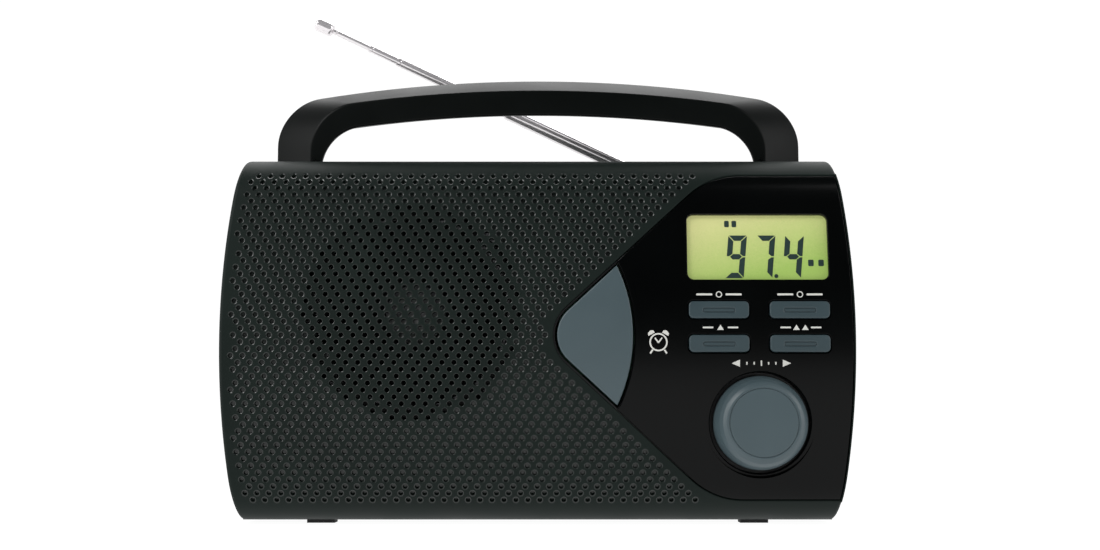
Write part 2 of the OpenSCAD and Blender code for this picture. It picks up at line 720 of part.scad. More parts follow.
module antenna_swivel() {
    color("#c6cace") place() difference() {
        union() {
            along_z(swivel_r, [ledge_z - 9, ledge_z + 0.4], pivot_x, pivot_y);
            along_z(6, [ledge_z + 0.1, ledge_z + 2], pivot_x, pivot_y);
            intersection() {
                along_z(5.2, [ledge_z + 1, pivot_z + 5], pivot_x, pivot_y);
                along_y(4.4, [pivot_y - 6, pivot_y + 6], pivot_x, pivot_z + 0.2);
            }
            along_z(4.4, [ledge_z + 1, pivot_z], pivot_x, pivot_y);
        }
        block([pivot_x - 8, pivot_x + 8], [pivot_y - 1.6, pivot_y + 1.6], [ledge_z + 2.2, pivot_z + 8]);
        along_y(1.25, [pivot_y - 8, pivot_y + 8], pivot_x, pivot_z);
        along_z(1.25, [ledge_z - 10, ledge_z - 2], pivot_x, pivot_y);
    }
}
module antenna_swivel_screw() {
    color("#b8bcc0") place() {
        along_z(1.22, [ledge_z - 9, ledge_z - 3], pivot_x, pivot_y);
        along_z(6.5, [ledge_z - 10, ledge_z - 9], pivot_x, pivot_y);
        along_z(3, [ledge_z - 12, ledge_z - 10], pivot_x, pivot_y);
    }
}
module antenna_pivot_pin() {
    color("#b8bcc0") place() along_y(1.2, [pivot_y - 5.2, pivot_y + 5.2], pivot_x, pivot_z);
}
// Lengths along the antenna are measured from its pivot.
module on_antenna() {
    translate([pivot_x, pivot_y, pivot_z]) rotate([0, -90 + antenna_angle, 0]) children();
}
section_r = [2.65, 2.25, 1.9, 1.5, 1.1];
section_shown = [0, 23.6, 26, 12.8, 16.4];
section_len = [main_tube_len - 9, 88, 86, 84, 82];
function shown_to(i) = i == 0 ? main_tube_len : shown_to(i - 1) + section_shown[i];
section_mouth = [for (i = [0 : 4]) shown_to(i)];
section_foot = [for (i = [0 : 4]) section_mouth[i] - section_len[i]];
module antenna_stage(i) {
    difference() {
        translate([0, 0, section_foot[i]]) cylinder(r = section_r[i], h = section_len[i]);
        if (i < 4) translate([0, 0, section_foot[i] + 1])
            cylinder(r = section_r[i + 1] + running_gap, h = section_mouth[i]);
    }
}
module antenna_tube() {
    color("#dfe2e4") place() {
        on_antenna() antenna_stage(0);
        difference() {
            on_antenna() {
                rotate([90, 0, 0]) cylinder(r = 3.8, h = 3, center = true);
                intersection() {
                    translate([-3.8, -1.5, 0]) cube([7.6, 3, 9]);
                    cylinder(r = 3.8, h = 9);
                }
                translate([0, 0, 7.2]) cylinder(r = 2.65, h = 2);
            }
            translate([pivot_x, pivot_y, pivot_z]) rotate([90, 0, 0])
                cylinder(r = 1.2 + running_gap, h = 8, center = true);
        }
    }
}
module antenna_section_2() { color("#dfe2e4") place() on_antenna() antenna_stage(1); }
module antenna_section_3() { color("#dfe2e4") place() on_antenna() antenna_stage(2); }
module antenna_section_4() { color("#dfe2e4") place() on_antenna() antenna_stage(3); }
module antenna_section_5() { color("#dfe2e4") place() on_antenna() antenna_stage(4); }
module antenna_tip() {
    base = section_mouth[4];
    color("#dfe2e4") place() on_antenna() translate([0, 0, base]) rotate_extrude()
        polygon([[0, 0], [2, 0], [2.7, 0.8], [2.7, 6.9], [2.1, 7.7], [0, 8]]);
}

module feet() {
    y = [28, 60];
    color("#151718") place() for (x = [-foot_x, foot_x], i = y)
        block([x - foot_w / 2, x + foot_w / 2], [i - 4, i + 4], [-half_h - foot_h, -half_h]);
}
module case_screws() {
    color("#b8bcc0") place() for (p = boss_places)
        turned(p[0], p[1], [[0, split_y - 11], [1.6, split_y - 11], [1.6, split_y + 12], [3, split_y + 12],
            [2.6, split_y + 14], [0, split_y + 14]]);
}
module board_screws() {
    color("#b8bcc0") place() {
        for (p = board_screw_places)
            turned(p[0], p[1], [[0, main_board_y + 8], [1.2, main_board_y + 8], [1.2, main_board_y],
                [2.8, main_board_y], [2.4, main_board_y - 1.8], [0, main_board_y - 1.8]]);
        for (p = key_screw_places) screw(p[0], p[1], key_board_y + board_t, 2.8, 1.8, 1.2, 5);
    }
}
module speaker_wires() {
    color("#b03028") place() tube_along([
        [-22, 27, 9], [-18, 27.5, 11], [-12, 27, 14], [-4, 26, 14], [3, 26, 13],
        [8, 27, 12], [11, 29, 12]], 0.7, 8, [0, 0, 1]);
    color("#202020") place() tube_along([[-22, 27, 5], [-18, 27.5, 3], [-12, 27, 2], [-4, 26, 3], [3, 26, 5],
        [8, 27, 6], [11, 29, 6]], 0.7, 8, [0, 0, 1]);
}

front_shell();
rear_shell();
control_panel();
lcd_window();
lcd_module();
lcd_holder();
snooze_button();
time_set_button();
alarm_set_button();
hour_button();
minute_button();
key_board();
key_switches();
tuning_knob();
tuning_shaft();
tuning_capacitor();
speaker_frame();
speaker_magnet();
speaker_cone();
speaker_dust_cap();
speaker_screws();
speaker_gasket();
main_board();
ferrite_rod();
ferrite_coil();
ferrite_holders();
transformer();
ac_inlet();
headphone_jack();
volume_wheel();
volume_pot();
band_switch_knob();
band_switch();
power_switch_knob();
power_switch();
battery_springs();
battery_contacts();
battery_door();
handle();
handle_screws();
antenna_swivel();
antenna_swivel_screw();
antenna_pivot_pin();
antenna_tube();
antenna_section_2();
antenna_section_3();
antenna_section_4();
antenna_section_5();
antenna_tip();
feet();
case_screws();
board_screws();
speaker_wires();
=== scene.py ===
"""Looks of the tabletop clock radio. Lengths are in millimetres in body coordinates: X to the right,
Y back from the foremost line of the front face, Z up from mid-height."""

import json
import math

import bpy
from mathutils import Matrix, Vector, geometry


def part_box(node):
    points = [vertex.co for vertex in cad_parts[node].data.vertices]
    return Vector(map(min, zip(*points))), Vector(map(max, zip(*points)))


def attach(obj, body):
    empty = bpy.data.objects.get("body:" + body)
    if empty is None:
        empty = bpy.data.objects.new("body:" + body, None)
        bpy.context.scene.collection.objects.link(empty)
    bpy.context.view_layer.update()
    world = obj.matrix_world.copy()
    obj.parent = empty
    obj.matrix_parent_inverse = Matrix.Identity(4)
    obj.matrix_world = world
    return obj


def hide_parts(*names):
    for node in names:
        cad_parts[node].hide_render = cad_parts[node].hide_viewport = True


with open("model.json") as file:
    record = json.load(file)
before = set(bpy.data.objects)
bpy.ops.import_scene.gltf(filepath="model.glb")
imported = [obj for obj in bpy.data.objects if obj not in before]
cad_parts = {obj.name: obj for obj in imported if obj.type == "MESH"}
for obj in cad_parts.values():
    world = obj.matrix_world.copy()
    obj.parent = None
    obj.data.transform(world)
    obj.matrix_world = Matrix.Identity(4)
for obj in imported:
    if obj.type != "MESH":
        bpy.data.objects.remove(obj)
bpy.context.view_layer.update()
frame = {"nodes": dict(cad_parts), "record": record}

MM = 0.001
FRONT_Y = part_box("front_shell")[0].y
MID_Z = (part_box("front_shell")[0].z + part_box("front_shell")[1].z) / 2

# ---- Sizes of the body, as in the CAD ----
HALF_W = 115
HALF_H = 67.2
SIDE_R = 405
SPLIT_Y = 24
WALL = 2.4
CROWN_R = 290
CROWN_HALF = 50.5
CROWN_END = math.asin(CROWN_HALF / CROWN_R)
EDGE_R = (HALF_H - CROWN_HALF) / (1 - math.sin(CROWN_END))
EDGE_Y = CROWN_R - CROWN_R * math.cos(CROWN_END) + EDGE_R * math.cos(CROWN_END)
EDGE_Z = CROWN_HALF - EDGE_R * math.sin(CROWN_END)
CROWN_ARC = CROWN_R * CROWN_END
ROLL_ARC = EDGE_R * (math.pi / 2 - CROWN_END)

# ---- Sizes of the control panel ----
DIAGONAL = math.radians(42.8)
NOSE_R = 13.7
NOSE_X = 5.7 + NOSE_R
SHOULDER_R = 28
PANEL_HALF_H = 59.7
SHOULDER_Z = PANEL_HALF_H - SHOULDER_R
SHOULDER_X = NOSE_X + (SHOULDER_R - NOSE_R + SHOULDER_Z * math.cos(DIAGONAL)) / math.sin(DIAGONAL)
SNOOZE_ARC_R = 58.9
SNOOZE_ARC_X = 34.5 - SNOOZE_ARC_R
PANEL_GAP = 0.9
LCD_X = (54.6, 105.6)
LCD_Z = (20.3, 44.3)
BUTTONS = {
    "time_set": (65.6, 9.1),
    "alarm_set": (94.8, 9.1),
    "hour": (65.6, -3.1),
    "minute": (94.8, -3.1),
}
BUTTON_SIZE = (21.7, 6.2)
KNOB_X = 80.3
KNOB_Z = -31.6
WELL_R = 18.35
WELL_FLOOR_Y = 6.4

# ---- Sizes of the grille ----
SPEAKER_X = -45.4
SPEAKER_Z = 8.7
SPEAKER_FIELD_R = 39.3
PITCH = 4.33
ROW_STEP = 0.607
ROW_PITCH = PITCH * 0.571
ROWS = 24
PHASE = -1.55


def at(x, y, z):
    """A point in body coordinates as a point of the frame, in metres."""
    return Vector((x * MM, FRONT_Y + y * MM, MID_Z + z * MM))


# ======================= Outlines and surfaces =======================


def side_x(z, inset=0):
    """Where the bowed right side is at a height."""
    return HALF_W - SIDE_R + math.sqrt((SIDE_R - inset) ** 2 - z * z)


def front(x, s, depth=0):
    """The point at arc length s above mid-height along the front's profile, and the outward direction."""
    t = abs(s)
    up = math.copysign(1, s)
    if t <= CROWN_ARC:
        a = t / CROWN_R
        y = CROWN_R - (CROWN_R - depth) * math.cos(a)
        z = (CROWN_R - depth) * math.sin(a)
    elif t <= CROWN_ARC + ROLL_ARC:
        a = CROWN_END + (t - CROWN_ARC) / EDGE_R
        y = EDGE_Y - (EDGE_R - depth) * math.cos(a)
        z = EDGE_Z + (EDGE_R - depth) * math.sin(a)
    else:
        a = math.pi / 2
        y = EDGE_Y + t - CROWN_ARC - ROLL_ARC
        z = HALF_H - depth
    return at(x, y, up * z), Vector((0, -math.cos(a), up * math.sin(a)))


def arc_length(z):
    """Arc length from mid-height to the height z on the front's profile."""
    t = abs(z)
    if t <= CROWN_HALF:
        return math.copysign(CROWN_R * math.asin(t / CROWN_R), z)
    a = math.asin(min(1, (t - EDGE_Z) / EDGE_R))
    return math.copysign(CROWN_ARC + EDGE_R * (a - CROWN_END), z)


def height(s):
    return (front(0, s)[0].z - MID_Z) / MM


def arc(cx, cz, r, start, end, count):
    """Points on an arc, angles in radians."""
    angles = [start + (end - start) * i / count for i in range(count + 1)]
    return [(cx + r * math.cos(a), cz + r * math.sin(a)) for a in angles]


def straight(a, b, step):
    """Points from a towards b about a step apart, without b."""
    count = max(1, round(math.dist(a, b) / step))
    return [(a[0] + (b[0] - a[0]) * i / count, a[1] + (b[1] - a[1]) * i / count) for i in range(count)]


def subdivided(loop, step):
    """A closed outline with its long sides cut into steps."""
    return [p for i, a in enumerate(loop) for p in straight(a, loop[(i + 1) % len(loop)], step)]


def mirrored_loop(upper):
    """An outline closed by its mirror image below mid-height."""
    lower = [(x, -z) for x, z in reversed(upper) if abs(z) > 1e-6]
    return list(upper) + lower


def panel_outline(grow, side_inset):
    """The control panel's opening, grown by an amount, anticlockwise from its right side."""
    r = SIDE_R - side_inset
    half_pi = math.pi / 2
    side = arc(HALF_W - SIDE_R, 0, r, 0, math.asin((PANEL_HALF_H + grow) / r), 30)
    shoulder = arc(SHOULDER_X, SHOULDER_Z, SHOULDER_R + grow, half_pi, half_pi + DIAGONAL, 24)
    nose = arc(NOSE_X, 0, NOSE_R + grow, half_pi + DIAGONAL, math.pi, 16)
    return mirrored_loop(side + shoulder + nose)


def diagonal_meets(grow, r):
    """Where the panel's upper diagonal meets an arc round the snooze button's centre."""
    a = math.pi / 2 + DIAGONAL
    px = NOSE_X + (NOSE_R + grow) * math.cos(a) - SNOOZE_ARC_X
    pz = (NOSE_R + grow) * math.sin(a)
    along = px * math.cos(DIAGONAL) + pz * math.sin(DIAGONAL)
    t = -along + math.sqrt(along**2 - px**2 - pz**2 + r * r)
    return math.atan2(pz + t * math.sin(DIAGONAL), px + t * math.cos(DIAGONAL))


def snooze_outline(grow):
    r = SNOOZE_ARC_R + grow
    tip = diagonal_meets(grow - 1.5, r)
    right = arc(SNOOZE_ARC_X, 0, r, 0, tip, 16)
    nose = arc(NOSE_X, 0, NOSE_R + grow - 1.5, math.pi / 2 + DIAGONAL, math.pi, 16)
    return mirrored_loop(right + nose)


def gloss_outline(grow):
    """The panel round the snooze button: its left edge follows that button's arc."""
    r = SNOOZE_ARC_R + PANEL_GAP
    outer = panel_outline(grow, 0.5 - grow)
    tip = diagonal_meets(grow, r)
    meeting_x = SNOOZE_ARC_X + r * math.cos(tip)
    upper = [p for p in outer[: len(outer) // 2] if p[1] >= 0 and p[0] > meeting_x]
    left = arc(SNOOZE_ARC_X, 0, r, tip, 0, 24)
    return mirrored_loop(upper + left)


def rounded_rect(x, z, w, h, r, count=8):
    half_pi = math.pi / 2
    corners = [(1, 1, 0), (-1, 1, 1), (-1, -1, 2), (1, -1, 3)]
    return [
        p
        for i, j, turn in corners
        for p in arc(x + i * (w / 2 - r), z + j * (h / 2 - r), r, turn * half_pi, (turn + 1) * half_pi, count)
    ]


def lcd_outline(grow):
    w = LCD_X[1] - LCD_X[0] + 2 * grow
    h = LCD_Z[1] - LCD_Z[0] + 2 * grow
    return rounded_rect(sum(LCD_X) / 2, sum(LCD_Z) / 2, w, h, 2.3 + grow)


def button_outline(name, grow):
    x, z = BUTTONS[name]
    return rounded_rect(x, z, BUTTON_SIZE[0] + 2 * grow, BUTTON_SIZE[1] + 2 * grow, 1.7 + grow)


def circle(x, z, r, count=48):
    return arc(x, z, r, 0, 2 * math.pi, count)[:-1]


def offset(loop, distance):
    """A closed anticlockwise outline drawn in by a distance."""
    moved = []
    for i, (x, z) in enumerate(loop):
        ax, az = loop[i - 1]
        bx, bz = loop[(i + 1) % len(loop)]
        first = Vector((az - z, x - ax)).normalized()
        second = Vector((z - bz, bx - x)).normalized()
        inward = first + second
        inward = inward / max(0.5, inward.dot(first))
        moved.append((x + inward.x * distance, z + inward.y * distance))
    return moved


def inside(x, z, loop):
    """Whether a point is inside a closed outline."""
    found = False
    for i, (ax, az) in enumerate(loop):
        bx, bz = loop[i - 1]
        if (az > z) != (bz > z) and x < (bx - ax) * (z - az) / (bz - az) + ax:
            found = not found
    return found


def soften(points, radius, closed=False, count=4):
    """A chain of points, in any number of dimensions, with its corners rounded."""
    result = []
    last = len(points) - 1
    for i, p in enumerate(points):
        if not closed and i in (0, last):
            result.append(tuple(p))
            continue
        a = points[i - 1]
        b = points[(i + 1) % len(points)]
        ends = []
        for q in (a, b):
            share = min(0.45, radius / max(1e-9, math.dist(p, q)))
            ends.append([u + (v - u) * share for u, v in zip(p, q)])
        for k in range(count + 1):
            t = k / count
            mix = ((1 - t) ** 2, 2 * t * (1 - t), t * t)
            result.append(tuple(mix[0] * u + mix[1] * v + mix[2] * w for u, v, w in zip(ends[0], p, ends[1])))
    return result


# ======================= Meshes =======================

BEVEL_STEPS = 4


class Shape:
    """Vertices and faces of one piece, with exact normals where they are known."""

    def __init__(self):
        self.points = []
        self.normals = []
        self.faces = []
        self.exact = []

    def add(self, points, normals=None):
        first = len(self.points)
        self.points += points
        self.normals += normals or [None] * len(points)
        return list(range(first, len(self.points)))

    def face(self, corners, exact=False):
        self.faces.append(corners)
        self.exact.append(exact)

    def bridge(self, a, b, closed=True, exact=False):
        """Joins two rows of vertices with quads."""
        count = len(a) if closed else len(a) - 1
        for i in range(count):
            j = (i + 1) % len(a)
            corners = [a[i], a[j], b[j], b[i]]
            used = list(dict.fromkeys(corners))
            if len(used) > 2:
                self.face(used, exact)

    def make(self, name, look, body, replaced=(), sharp=32):
        mesh = bpy.data.meshes.new(name)
        mesh.from_pydata(self.points, [], self.faces)
        mesh.shade_smooth()
        mesh.set_sharp_from_angle(angle=math.radians(sharp))
        if any(self.exact):
            corners = [c.vector.copy() for c in mesh.corner_normals]
            for polygon in mesh.polygons:
                if not self.exact[polygon.index]:
                    continue
                for i in polygon.loop_indices:
                    normal = self.normals[mesh.loops[i].vertex_index]
                    corners[i] = normal if normal is not None else corners[i]
            mesh.normals_split_custom_set(corners)
        piece = bpy.data.objects.new(name, mesh)
        bpy.context.scene.collection.objects.link(piece)
        mesh.materials.append(LOOKS[look])
        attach(piece, body)
        if replaced:
            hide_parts(*replaced)
        return piece


def triangles_between(loops, holes, extra):
    """Triangles inside the first outline and outside the others. Holes are small convex outlines."""
    points = []
    owner = []
    edges = []
    for number, loop in enumerate(loops + holes):
        first = len(points)
        points += loop
        owner += [number] * len(loop)
        edges += [(first + i, first + (i + 1) % len(loop)) for i in range(len(loop))]
    points += extra
    owner += [-1] * len(extra)
    result = geometry.delaunay_2d_cdt([Vector(p) for p in points], edges, [], 0, 1e-7, True)
    index = [ids[0] for ids in result[3]]
    kept = []
    for corners in result[2]:
        a, b, c = (index[i] for i in corners)
        if owner[a] == owner[b] == owner[c] and owner[a] >= len(loops):
            continue
        x = (points[a][0] + points[b][0] + points[c][0]) / 3
        z = (points[a][1] + points[b][1] + points[c][1]) / 3
        if inside(x, z, loops[0]) and not any(inside(x, z, loop) for loop in loops[1:]):
            kept.append((a, b, c))
    return kept


def on_front(loop, depth):
    """An outline in X and Z laid on the front's surface at a depth: points and normals."""
    pairs = [front(x, arc_length(z), depth) for x, z in loop]
    return [p for p, _ in pairs], [n for _, n in pairs]


def grid_points(loops, step, clear):
    """Points inside a plate, away from its edges, that carry its curve."""
    xs = [x for x, _ in loops[0]]
    zs = [z for _, z in loops[0]]
    found = []
    for i in range(int((max(xs) - min(xs)) / step) + 1):
        for j in range(int((max(zs) - min(zs)) / step) + 1):
            x = min(xs) + i * step
            z = min(zs) + j * step
            near = any(math.dist((x, z), p) < clear for loop in loops for p in loop)
            if not near and inside(x, z, loops[0]) and not any(inside(x, z, loop) for loop in loops[1:]):
                found.append((x, z))
    return found


def add_plate(shape, loops, depth, thick, bevel, step=4.0):
    """A plate that follows the front's surface: the first outline is its edge, the others are holes."""
    loops = [subdivided(loop, step) for loop in loops]
    turned_in = [offset(loop, bevel if k == 0 else -bevel) for k, loop in enumerate(loops)]
    extra = grid_points(turned_in, step, step * 0.6)
    triangles = triangles_between(turned_in, [], extra)
    flat = [p for loop in turned_in for p in loop] + extra
    top = shape.add(*on_front(flat, depth))
    for a, b, c in triangles:
        shape.face([top[a], top[b], top[c]], True)
    first = 0
    for k, loop in enumerate(loops):
        row = top[first : first + len(loop)]
        first += len(loop)
        for i in range(1, BEVEL_STEPS + 1):
            angle = math.pi / 2 * i / BEVEL_STEPS
            moved = offset(loop, (bevel if k == 0 else -bevel) * (1 - math.sin(angle)))
            lower = shape.add(on_front(moved, depth + bevel * (1 - math.cos(angle)))[0])
            join(shape, row, lower, k == 0)
            row = lower
        lower = shape.add(on_front(loop, depth + thick)[0])
        join(shape, row, lower, k == 0)
    backs = [p for loop in loops for p in loop] + extra
    bottom = shape.add(on_front(backs, depth + thick)[0])
    for a, b, c in triangles_between(loops, [], extra):
        shape.face([bottom[c], bottom[b], bottom[a]])


def join(shape, upper, lower, outer):
    """Walls go round an edge one way and round a hole the other."""
    if outer:
        shape.bridge(lower, upper)
    else:
        shape.bridge(upper, lower)


def add_lathe(shape, profile, place, segments=72):
    """Turns a profile of radius and distance. place(radius, angle, distance) gives each point."""
    rows = []
    for r, h in profile:
        if r < 1e-6:
            rows.append(shape.add([place(0, 0, h)]) * segments)
        else:
            rows.append(shape.add([place(r, 2 * math.pi * k / segments, h) for k in range(segments)]))
    for a, b in zip(rows, rows[1:]):
        shape.bridge(a, b)


def along_depth(x, z):
    """The place function for turning about an axis that runs back from the front."""

    def place(r, a, y):
        return at(x + r * math.cos(a), y, z - r * math.sin(a))

    return place


# ======================= Materials =======================

LOOKS = {}


def linear(r, g, b):
    """A colour of 0 to 255 as linear numbers."""

    def channel(v):
        v = v / 255
        return v / 12.92 if v <= 0.04045 else ((v + 0.055) / 1.055) ** 2.4

    return (channel(r), channel(g), channel(b), 1)


def new_look(name, colour, roughness, **settings):
    material = bpy.data.materials.new(name)
    material.use_nodes = True
    shader = material.node_tree.nodes["Principled BSDF"]
    shader.inputs["Base Color"].default_value = colour
    shader.inputs["Roughness"].default_value = roughness
    for key, value in settings.items():
        shader.inputs[key].default_value = value
    LOOKS[name] = material
    return material, shader


def noise(material, scale, detail=3.0, stretch=(1, 1, 1)):
    """A noise texture in the object's own coordinates, in cycles per metre."""
    nodes = material.node_tree.nodes
    links = material.node_tree.links
    coordinates = nodes.new("ShaderNodeTexCoord")
    mapping = nodes.new("ShaderNodeMapping")
    mapping.inputs["Scale"].default_value = stretch
    texture = nodes.new("ShaderNodeTexNoise")
    texture.inputs["Scale"].default_value = scale
    texture.inputs["Detail"].default_value = detail
    links.new(coordinates.outputs["Object"], mapping.inputs["Vector"])
    links.new(mapping.outputs["Vector"], texture.inputs["Vector"])
    return texture.outputs["Fac"]


def vary_colour(material, shader, field, dark, light, low=0.3, high=0.7):
    ramp = material.node_tree.nodes.new("ShaderNodeValToRGB")
    ramp.color_ramp.elements[0].position = low
    ramp.color_ramp.elements[0].color = dark
    ramp.color_ramp.elements[1].position = high
    ramp.color_ramp.elements[1].color = light
    material.node_tree.links.new(field, ramp.inputs["Fac"])
    material.node_tree.links.new(ramp.outputs["Color"], shader.inputs["Base Color"])


def vary_roughness(material, shader, field, low, high):
    span = material.node_tree.nodes.new("ShaderNodeMapRange")
    span.inputs["From Min"].default_value = 0.3
    span.inputs["From Max"].default_value = 0.7
    span.inputs["To Min"].default_value = low
    span.inputs["To Max"].default_value = high
    material.node_tree.links.new(field, span.inputs["Value"])
    material.node_tree.links.new(span.outputs["Result"], shader.inputs["Roughness"])


def grain(material, shader, field, strength, distance):
    bump = material.node_tree.nodes.new("ShaderNodeBump")
    bump.inputs["Strength"].default_value = strength
    bump.inputs["Distance"].default_value = distance * MM
    material.node_tree.links.new(field, bump.inputs["Height"])
    material.node_tree.links.new(bump.outputs["Normal"], shader.inputs["Normal"])


def shade(colour, share):
    return tuple(c * share for c in colour[:3]) + (1,)


def textured_look(name, colour, roughness, scale, depth, spread=0.12, **settings):
    """A plastic, metal or rubber with a fine grain and slightly uneven colour and gloss."""
    material, shader = new_look(name, colour, roughness, **settings)
    broad = noise(material, 45, 4)
    vary_colour(material, shader, broad, shade(colour, 1 - spread), shade(colour, 1 + spread))
    vary_roughness(material, shader, broad, roughness * 0.92, roughness * 1.08)
    grain(material, shader, noise(material, scale, 2), 0.5, depth)
    return material, shader


def make_looks():
    textured_look("shell", linear(19, 28, 25), 0.55, 2600, 0.02, **{"Specular IOR Level": 0.13})
    # Painted shade: the pits are the shell's own plastic, coloured a little darker than the shell.
    textured_look("pit", linear(18, 26, 23), 0.3, 2600, 0.005)
    textured_look("handle", linear(5, 8, 7), 0.4, 2600, 0.008, **{"Specular IOR Level": 0.1})
    textured_look("grey", linear(68, 83, 88), 0.4, 3200, 0.01, 0.06)
    # Painted shade: the keys are the same grey plastic as the snooze key, given a darker copy of its colour.
    textured_look("key", linear(50, 66, 71), 0.38, 3200, 0.01, 0.06)
    textured_look("black", linear(22, 23, 24), 0.45, 2600, 0.01)
    textured_look("white", linear(216, 214, 204), 0.5, 2200, 0.01, 0.05)
    textured_look("rubber", linear(26, 26, 27), 0.8, 1800, 0.03)
    textured_look("gloss", linear(2, 3, 3), 0.2, 900, 0.001, 0.3, IOR=1.24)
    textured_look("board", linear(38, 92, 56), 0.4, 500, 0.03, 0.2)
    textured_look("steel", linear(196, 196, 200), 0.3, 2200, 0.005, 0.08, Metallic=1.0)
    textured_look("pressed", linear(150, 152, 154), 0.42, 1500, 0.01, 0.1, Metallic=0.9)
    textured_look("ferrite", linear(58, 58, 62), 0.6, 1500, 0.03, 0.2)
    textured_look("cone", linear(30, 30, 33), 0.85, 900, 0.08, 0.2)
    textured_look("cap", linear(235, 235, 236), 0.45, 1800, 0.01, 0.05, Metallic=0.3)
    textured_look("copper", linear(176, 108, 62), 0.35, 2600, 0.02, 0.2, Metallic=0.8)
    textured_look("wire", linear(160, 42, 34), 0.5, 1800, 0.01, 0.1)
    textured_look("print", linear(214, 214, 208), 0.5, 1800, 0.002, 0.04)
    textured_look("segment", linear(30, 56, 52), 0.5, 1500, 0.001, 0.1)
    chrome, shader = new_look("chrome", linear(240, 236, 238), 0.11, Metallic=0.65)
    brushed = noise(chrome, 240, 2, (1, 8, 8))
    vary_roughness(chrome, shader, brushed, 0.08, 0.14)
    grain(chrome, shader, brushed, 0.1, 0.002)
    make_display_look()
    glass, shader = new_look("window", (0.02, 0.022, 0.02, 1), 0.03, Alpha=0.06, IOR=1.36)
    vary_roughness(glass, shader, noise(glass, 60, 2), 0.02, 0.05)


def make_display_look():
    """Yellow-green display film, painted lighter towards the upper left where the key light falls, with a
    painted glow from emission of its own colour.
    """
    colour = linear(184, 200, 118)
    material, shader = new_look("display", colour, 0.35)
    nodes = material.node_tree.nodes
    links = material.node_tree.links
    coordinates = nodes.new("ShaderNodeTexCoord")
    split = nodes.new("ShaderNodeSeparateXYZ")
    links.new(coordinates.outputs["Generated"], split.inputs["Vector"])
    # Painted light: the film is coloured lighter towards the upper left, where the key light falls.
    painted_light_slope = nodes.new("ShaderNodeMath")
    painted_light_slope.operation = "MULTIPLY_ADD"
    links.new(split.outputs["X"], painted_light_slope.inputs[0])
    painted_light_slope.inputs[1].default_value = -0.6
    links.new(split.outputs["Z"], painted_light_slope.inputs[2])
    speckle_and_painted_light = nodes.new("ShaderNodeMath")
    speckle_and_painted_light.operation = "MULTIPLY_ADD"
    links.new(noise(material, 1500, 3), speckle_and_painted_light.inputs[0])
    speckle_and_painted_light.inputs[1].default_value = 0.5
    links.new(painted_light_slope.outputs[0], speckle_and_painted_light.inputs[2])
    vary_colour(material, shader, speckle_and_painted_light.outputs[0], linear(158, 188, 96), linear(206, 208, 142), -0.2, 1.1)
    # Painted glow: the film also gives off its own colour as light, though it is no lamp.
    ramp = shader.inputs["Base Color"].links[0].from_socket
    links.new(ramp, shader.inputs["Emission Color"])
    shader.inputs["Emission Strength"].default_value = 0.34
    grain(material, shader, noise(material, 2400, 2), 0.2, 0.004)


SLOT_LOOKS = {
    "shell_plastic": "shell",
    "handle_plastic": "handle",
    "panel_gloss": "gloss",
    "display_window": "window",
    "display_glass": "display",
    "white_plastic": "white",
    "grey_plastic": "grey",
    "black_plastic": "black",
    "circuit_board": "board",
    "bright_steel": "steel",
    "pressed_steel": "pressed",
    "ferrite": "ferrite",
    "paper_cone": "cone",
    "dust_cap": "cap",
    "copper": "copper",
    "chrome": "chrome",
    "rubber": "rubber",
    "wire": "wire",
}


def paint_cad_nodes():
    """Every CAD node takes the look of its slot."""
    for part in frame["record"]["subparts"]:
        node = frame["nodes"][part["node"]]
        node.data.materials.clear()
        node.data.materials.append(LOOKS[SLOT_LOOKS[part["material_slot"]]])


def soften_cad_edges():
    """Moulded parts that show get small rounded edges."""
    widths = {
        "feet": 0.5,
        "battery_door": 0.35,
        "rear_shell": 0.3,
        "band_switch_knob": 0.3,
        "power_switch_knob": 0.3,
        "volume_wheel": 0.2,
        "ac_inlet": 0.3,
        "antenna_swivel": 0.3,
    }
    for name, width in widths.items():
        bevel = frame["nodes"][name].modifiers.new("edges", "BEVEL")
        bevel.width = width * MM
        bevel.segments = 2
        bevel.limit_method = "ANGLE"
        bevel.angle_limit = math.radians(40)
        bevel.harden_normals = True


# ======================= Front shell =======================

SIDE_FILLET = 1.6
SLIVER_FILLET = 0.3
OPENING_MARGIN = 0.55
SEAM = 0.25
DIMPLE_R = 1.25
CHAMFER_R = 1.12
OPENING_LIP = 0.3
HOLE_R = 0.85


def edge_fillet(s, side):
    """The radius between the front and a side. The panel leaves only a sliver of shell on the right."""
    beside_panel = side > 0 and abs(s) < arc_length(PANEL_HALF_H + OPENING_MARGIN) - 0.01
    return SLIVER_FILLET if beside_panel else SIDE_FILLET


def fillet_centre(s, side):
    r = edge_fillet(s, side)
    z = (front(0, s, r)[0].z - MID_Z) / MM
    return side_x(z, r), z


def grille_places(opening):
    """Centres of the dimples: rows away from the middle one step to the right."""
    places = []
    for k in range(-ROWS, ROWS + 1):
        z = k * ROW_PITCH
        first = PHASE + ROW_STEP * PITCH * abs(k)
        for n in range(-60, 3):
            x = first + n * PITCH
            if x < 3.9 - side_x(z) or inside(x, z, opening):
                continue
            if min(math.dist((x, z), p) for p in opening) > 2.8:
                places.append((x, z))
    return places


def is_open(place):
    """Whether a place in the grille is in front of the speaker."""
    return math.dist(place, (SPEAKER_X, SPEAKER_Z)) < SPEAKER_FIELD_R


